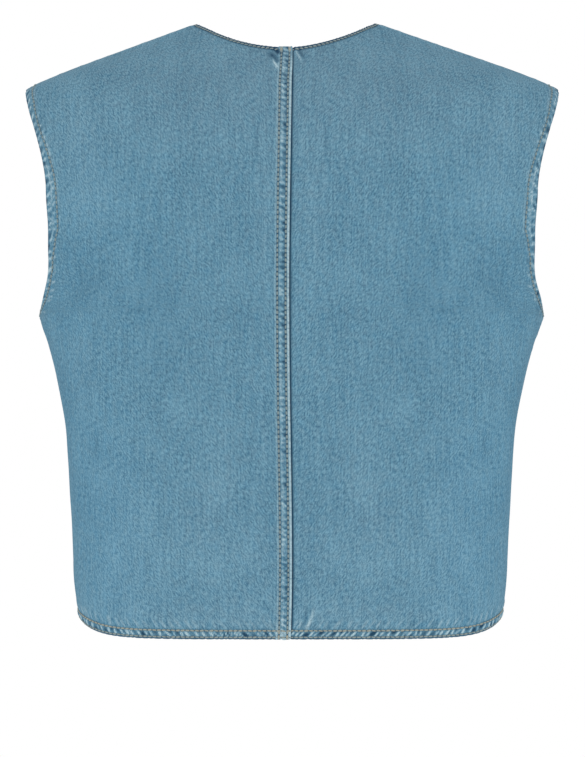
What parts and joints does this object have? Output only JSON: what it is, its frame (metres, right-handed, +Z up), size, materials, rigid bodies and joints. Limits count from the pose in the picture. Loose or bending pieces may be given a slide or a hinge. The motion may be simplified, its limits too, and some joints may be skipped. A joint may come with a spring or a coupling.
{
  "type": "gilet",
  "caption": "Cropped sleeveless collarless denim gilet in its worn, hollow form: boxy body, wide straight shoulders, round neck, topstitched centre-back seam, turned hem and armholes.",
  "frame": {"origin": "centre plane, level with the neck points of the shoulder seams and in the plane of those seams, where the wearer's shoulders carry the gilet", "axes": "+Z up, front of the gilet towards -Y, back towards +Y, +X towards the wearer's left"},
  "size_m": [0.475, 0.2303, 0.5398],
  "materials": {
    "back_left": "light washed indigo denim, matt",
    "back_right": "light washed indigo denim, matt",
    "front_left": "light washed indigo denim, matt",
    "front_right": "light washed indigo denim, matt"
  },
  "bodies": {
    "root": {"back_left": "back_left", "back_right": "back_right", "front_left": "front_left", "front_right": "front_right"}
  },
  "joints": []
}
